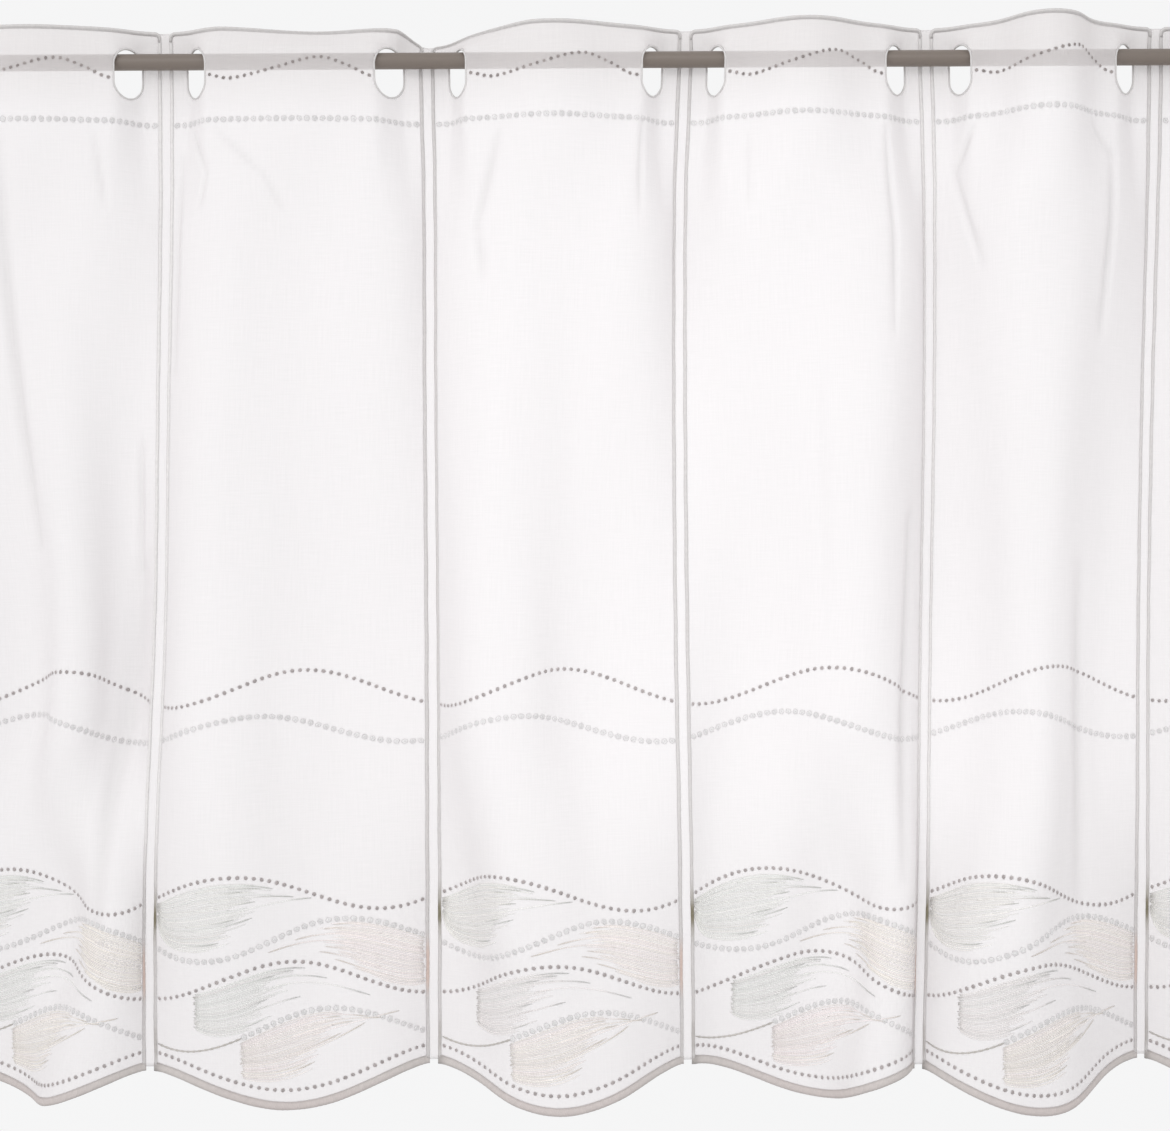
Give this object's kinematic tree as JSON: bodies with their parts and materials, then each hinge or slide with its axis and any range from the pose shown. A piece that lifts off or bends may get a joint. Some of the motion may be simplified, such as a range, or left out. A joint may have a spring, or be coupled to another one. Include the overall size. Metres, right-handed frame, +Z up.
{
  "type": "cafe curtain on a rod",
  "caption": "Sheer embroidered cafe curtain, satin-stitched into panels with a scalloped hem, threaded by buttonhole slots on a thin round rod.",
  "frame": {"origin": "centre of the rod's left end face, on the rod's axis", "axes": "+X along the rod to its right end, +Z up, -Y towards the room that the curtain's face looks into"},
  "size_m": [0.87, 0.0679, 0.5957],
  "materials": {
    "voile": "sheer plain-weave voile, white",
    "column_satin": "grey satin stitch in fine thread",
    "cord_satin": "grey corded overlock edge",
    "border_satin": "taupe satin-stitched scallop edge",
    "rim_satin": "grey buttonhole stitch",
    "rod_metal": "satin taupe-grey lacquer"
  },
  "bodies": {
    "root": {"curtain_cloth": "voile", "heading_panel_1": "voile", "heading_panel_2": "voile", "heading_panel_3": "voile", "heading_panel_4": "voile", "heading_panel_5": "voile", "heading_panel_6": "voile", "hem_border_1": "border_satin", "hem_border_2": "border_satin", "hem_border_3": "border_satin", "hem_border_4": "border_satin", "hem_border_5": "border_satin", "hem_border_6": "border_satin", "rod": "rod_metal", "satin_column_1_left": "column_satin", "satin_column_1_right": "column_satin", "satin_column_2_left": "column_satin", "satin_column_2_right": "column_satin", "satin_column_3_left": "column_satin", "satin_column_3_right": "column_satin", "satin_column_4_left": "column_satin", "satin_column_4_right": "column_satin", "satin_column_5_left": "column_satin", "satin_column_5_right": "column_satin", "satin_column_6_left": "column_satin", "satin_column_6_right": "column_satin", "slot_rim_panel1_left": "rim_satin", "slot_rim_panel1_right": "rim_satin", "slot_rim_panel2_left": "rim_satin", "slot_rim_panel2_right": "rim_satin", "slot_rim_panel3_left": "rim_satin", "slot_rim_panel3_right": "rim_satin", "slot_rim_panel4_left": "rim_satin", "slot_rim_panel4_right": "rim_satin", "slot_rim_panel5_left": "rim_satin", "slot_rim_panel5_right": "rim_satin", "slot_rim_panel6_left": "rim_satin", "slot_rim_panel6_right": "rim_satin", "top_cord_1": "cord_satin", "top_cord_2": "cord_satin", "top_cord_3": "cord_satin", "top_cord_4": "cord_satin", "top_cord_5": "cord_satin", "top_cord_6": "cord_satin"}
  },
  "joints": []
}
